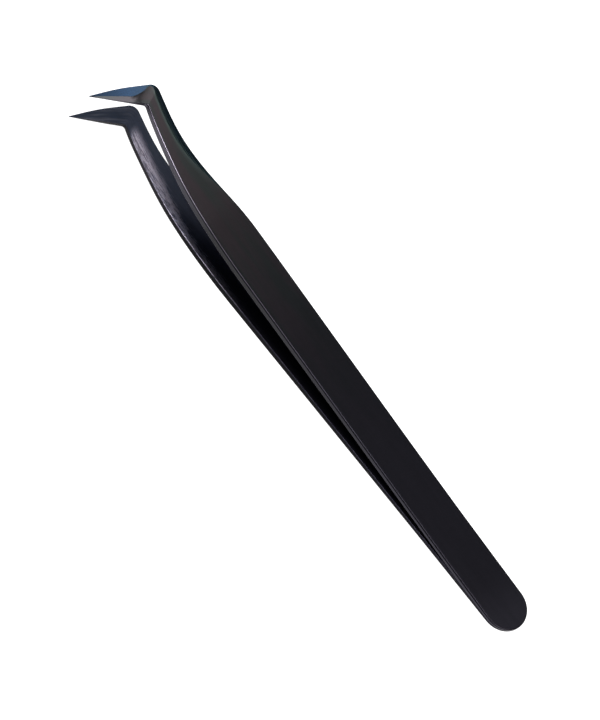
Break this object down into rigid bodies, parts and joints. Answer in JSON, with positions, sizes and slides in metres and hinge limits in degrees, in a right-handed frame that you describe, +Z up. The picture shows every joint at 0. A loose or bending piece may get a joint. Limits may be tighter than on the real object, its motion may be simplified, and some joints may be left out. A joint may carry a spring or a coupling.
{
  "type": "angled fine-point tweezers",
  "caption": "Slim spring-steel tweezers with a round tail, flat handle, waisted neck and sharply angled needle points; the arms are pinched to grip.",
  "frame": {"origin": "centre of the bounding box, on the table plane, with the tweezers lying open on the lower arm's outer face", "axes": "+X along the handle from the tail to the points, +Y the side the points turn to, +Z up from the table through the lower arm to the upper arm"},
  "size_m": [0.125, 0.0128, 0.0116],
  "materials": {
    "coated_steel": "satin",
    "weld_steel": "satin"
  },
  "bodies": {
    "tail": {"upper_tail": "coated_steel", "lower_tail": "coated_steel", "rear_weld": "weld_steel", "front_weld": "weld_steel"},
    "upper_arm": {"upper_blade": "coated_steel"},
    "lower_arm": {"lower_blade": "coated_steel"}
  },
  "joints": [
    {"name": "upper_flex", "type": "hinge", "parent": "tail", "child": "upper_arm", "pos_m": [-0.03961, -0.0008, 0.00238], "axis": [0, 1, 0], "range_deg": [0, 2.55], "stiffness_Nm_per_rad": 1.6},
    {"name": "lower_flex", "type": "hinge", "parent": "tail", "child": "lower_arm", "pos_m": [-0.03952, -0.0008, 0.00061], "axis": [0, -1, 0], "range_deg": [0, 2.55], "stiffness_Nm_per_rad": 1.6}
  ]
}
